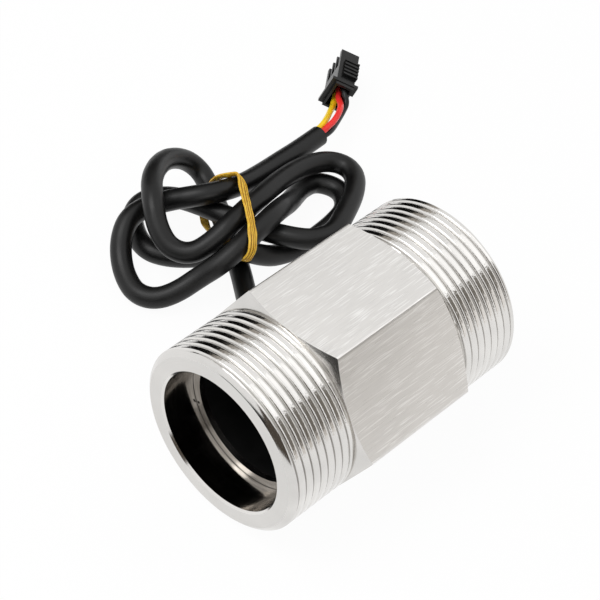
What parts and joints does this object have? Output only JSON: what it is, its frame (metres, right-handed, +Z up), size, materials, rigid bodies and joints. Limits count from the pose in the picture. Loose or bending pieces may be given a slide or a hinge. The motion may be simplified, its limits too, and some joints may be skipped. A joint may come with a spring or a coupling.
{
  "type": "inline flow sensor",
  "caption": "Hexagonal stainless steel inline flow sensor with threaded ends, a turbine wheel in its bore and a coiled black lead with a wire connector.",
  "frame": {"origin": "on the flow axis at the middle of the body's length", "axes": "+X along the flow axis from the inlet end to the outlet end, +Z up with the lower hexagon flat resting at z = -24 mm, +Y horizontal towards the lead's coil"},
  "size_m": [0.1361, 0.1173, 0.048],
  "materials": {
    "steel": "turned and brushed stainless steel, satin",
    "ring_steel": "spring steel, bright",
    "liner_plastic": "black moulded plastic",
    "rotor_plastic": "black moulded plastic",
    "magnet": "nickel plated magnets",
    "shaft_steel": "ground stainless steel",
    "bush_plastic": "white bearing plastic",
    "chip": "black epoxy",
    "board": "green glass-fibre board",
    "component": "ceramic",
    "potting": "black epoxy",
    "cable_jacket": "satin black sheath",
    "wire_red": "red insulation",
    "wire_yellow": "yellow insulation",
    "wire_black": "black insulation",
    "connector": "black moulded nylon",
    "contact": "tinned copper",
    "band": "natural latex"
  },
  "bodies": {
    "housing": {"body": "steel", "inlet_snap_ring": "ring_steel", "outlet_snap_ring": "ring_steel", "inlet_guide": "liner_plastic", "outlet_guide": "liner_plastic", "liner_sleeve": "liner_plastic", "inlet_bush": "bush_plastic", "outlet_bush": "bush_plastic", "inlet_thrust_washer": "bush_plastic", "outlet_thrust_washer": "bush_plastic", "hall_sensor": "chip", "sensor_board": "board", "board_resistor": "component", "board_capacitor": "component", "lead_red": "wire_red", "lead_yellow": "wire_yellow", "lead_black": "wire_black", "potting": "potting", "cable": "cable_jacket", "wire_red": "wire_red", "wire_yellow": "wire_yellow", "wire_black": "wire_black", "connector_housing": "connector", "contact_red": "contact", "contact_yellow": "contact", "contact_black": "contact", "rubber_band": "band"},
    "wheel": {"rotor": "rotor_plastic", "rotor_magnet_1": "magnet", "rotor_magnet_2": "magnet", "rotor_magnet_3": "magnet", "rotor_magnet_4": "magnet", "shaft": "shaft_steel"}
  },
  "joints": [
    {"name": "wheel_spin", "type": "hinge", "parent": "housing", "child": "wheel", "pos_m": [0, 0, 0], "axis": [1, 0, 0], "continuous": true}
  ]
}
